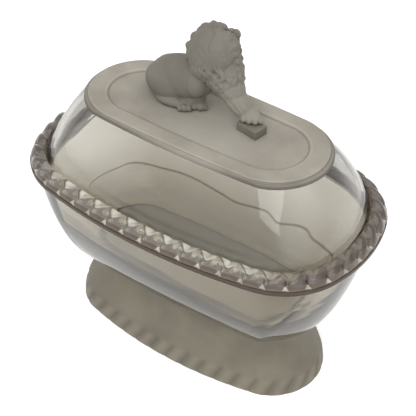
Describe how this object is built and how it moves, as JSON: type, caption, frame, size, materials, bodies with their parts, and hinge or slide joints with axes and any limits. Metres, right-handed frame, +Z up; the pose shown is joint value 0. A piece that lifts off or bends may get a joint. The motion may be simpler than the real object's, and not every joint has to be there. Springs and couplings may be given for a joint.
{
  "type": "covered oval dish",
  "caption": "Covered oval glass dish on a spreading foot; the lift-off cover has rope edging and a reclining lion as its knob.",
  "frame": {"origin": "on the table plane, under the middle of the dish", "axes": "+Z up, the way the cover lifts; +X along the dish, towards the lion's outstretched paw; +Y across the dish, towards the side that the lion's face looks to"},
  "size_m": [0.222, 0.135, 0.2188],
  "materials": {
    "clear_glass": "clear, polished, faintly grey",
    "frosted_glass": "frosted, satin"
  },
  "bodies": {
    "dish": {"foot": "frosted_glass", "foot_rope_border": "frosted_glass", "bowl_collar": "clear_glass", "bowl": "clear_glass"},
    "cover": {"cover_wall": "clear_glass", "cover_rope_edge": "clear_glass", "cover_top_panel": "frosted_glass", "lion_body": "frosted_glass", "lion_mane": "frosted_glass", "lion_paw_block": "frosted_glass"}
  },
  "joints": [
    {"name": "cover_lift", "type": "slide", "parent": "dish", "child": "cover", "axis": [0, 0, 1], "range_m": [0, 0.12]}
  ]
}
